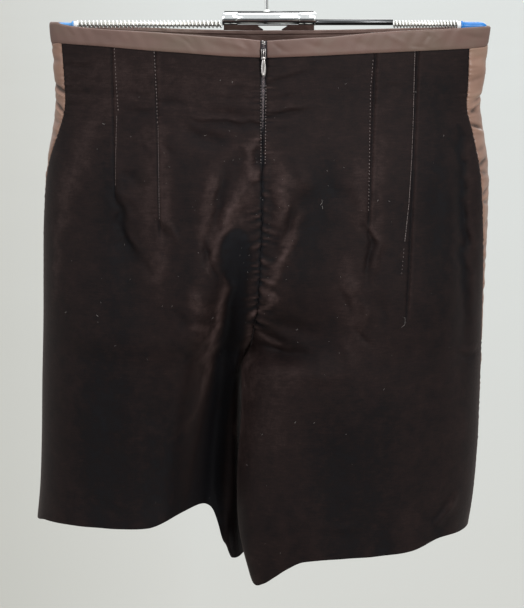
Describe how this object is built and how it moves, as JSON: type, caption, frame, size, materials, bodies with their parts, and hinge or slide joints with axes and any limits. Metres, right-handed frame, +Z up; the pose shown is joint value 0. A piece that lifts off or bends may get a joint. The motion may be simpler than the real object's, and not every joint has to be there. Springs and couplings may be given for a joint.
{
  "type": "velvet shorts on a spring-armed waist hanger",
  "caption": "High-waisted velvet shorts with satin waistband and side stripes, zipped at the back, hung by the waist from a sprung hanger.",
  "frame": {"origin": "the highest point inside the crook of the hanger's hook, where a rail carries it", "axes": "+Z up, -Y towards the zipped back of the shorts, +X to the right of someone who faces that side; millimetres in the source, metres in the row"},
  "size_m": [0.3995, 0.1882, 0.5817],
  "materials": {
    "velvet": "brown-black pile velvet with a soft plum sheen",
    "satin": "mauve-brown duchess satin, semi-gloss",
    "zip_tape": "woven tape with closed coil teeth",
    "zip_metal": "worn nickel",
    "chrome": "polished",
    "spring_steel": "close-wound wire",
    "blue_rubber": "moulded, satin"
  },
  "bodies": {
    "garment": {"back_left": "velvet", "back_right": "velvet", "front_left": "velvet", "front_right": "velvet", "side_stripe_left": "satin", "side_stripe_right": "satin", "waistband_back_left": "satin", "waistband_back_right": "satin", "waistband_front": "satin", "zip_chain": "zip_tape", "zip_slider": "zip_metal", "hook": "chrome", "hanger_body": "chrome", "hanger_lip": "chrome", "left_spring": "spring_steel", "right_rod": "chrome", "right_spring": "spring_steel", "left_tip": "blue_rubber", "right_tip": "blue_rubber"},
    "pull": {"zip_pull": "zip_metal"}
  },
  "joints": [
    {"name": "pull_swing", "type": "hinge", "parent": "garment", "child": "pull", "pos_m": [-0.00265, -0.0514, -0.1198], "axis": [-1, 0, 0], "range_deg": [0, 150]}
  ]
}
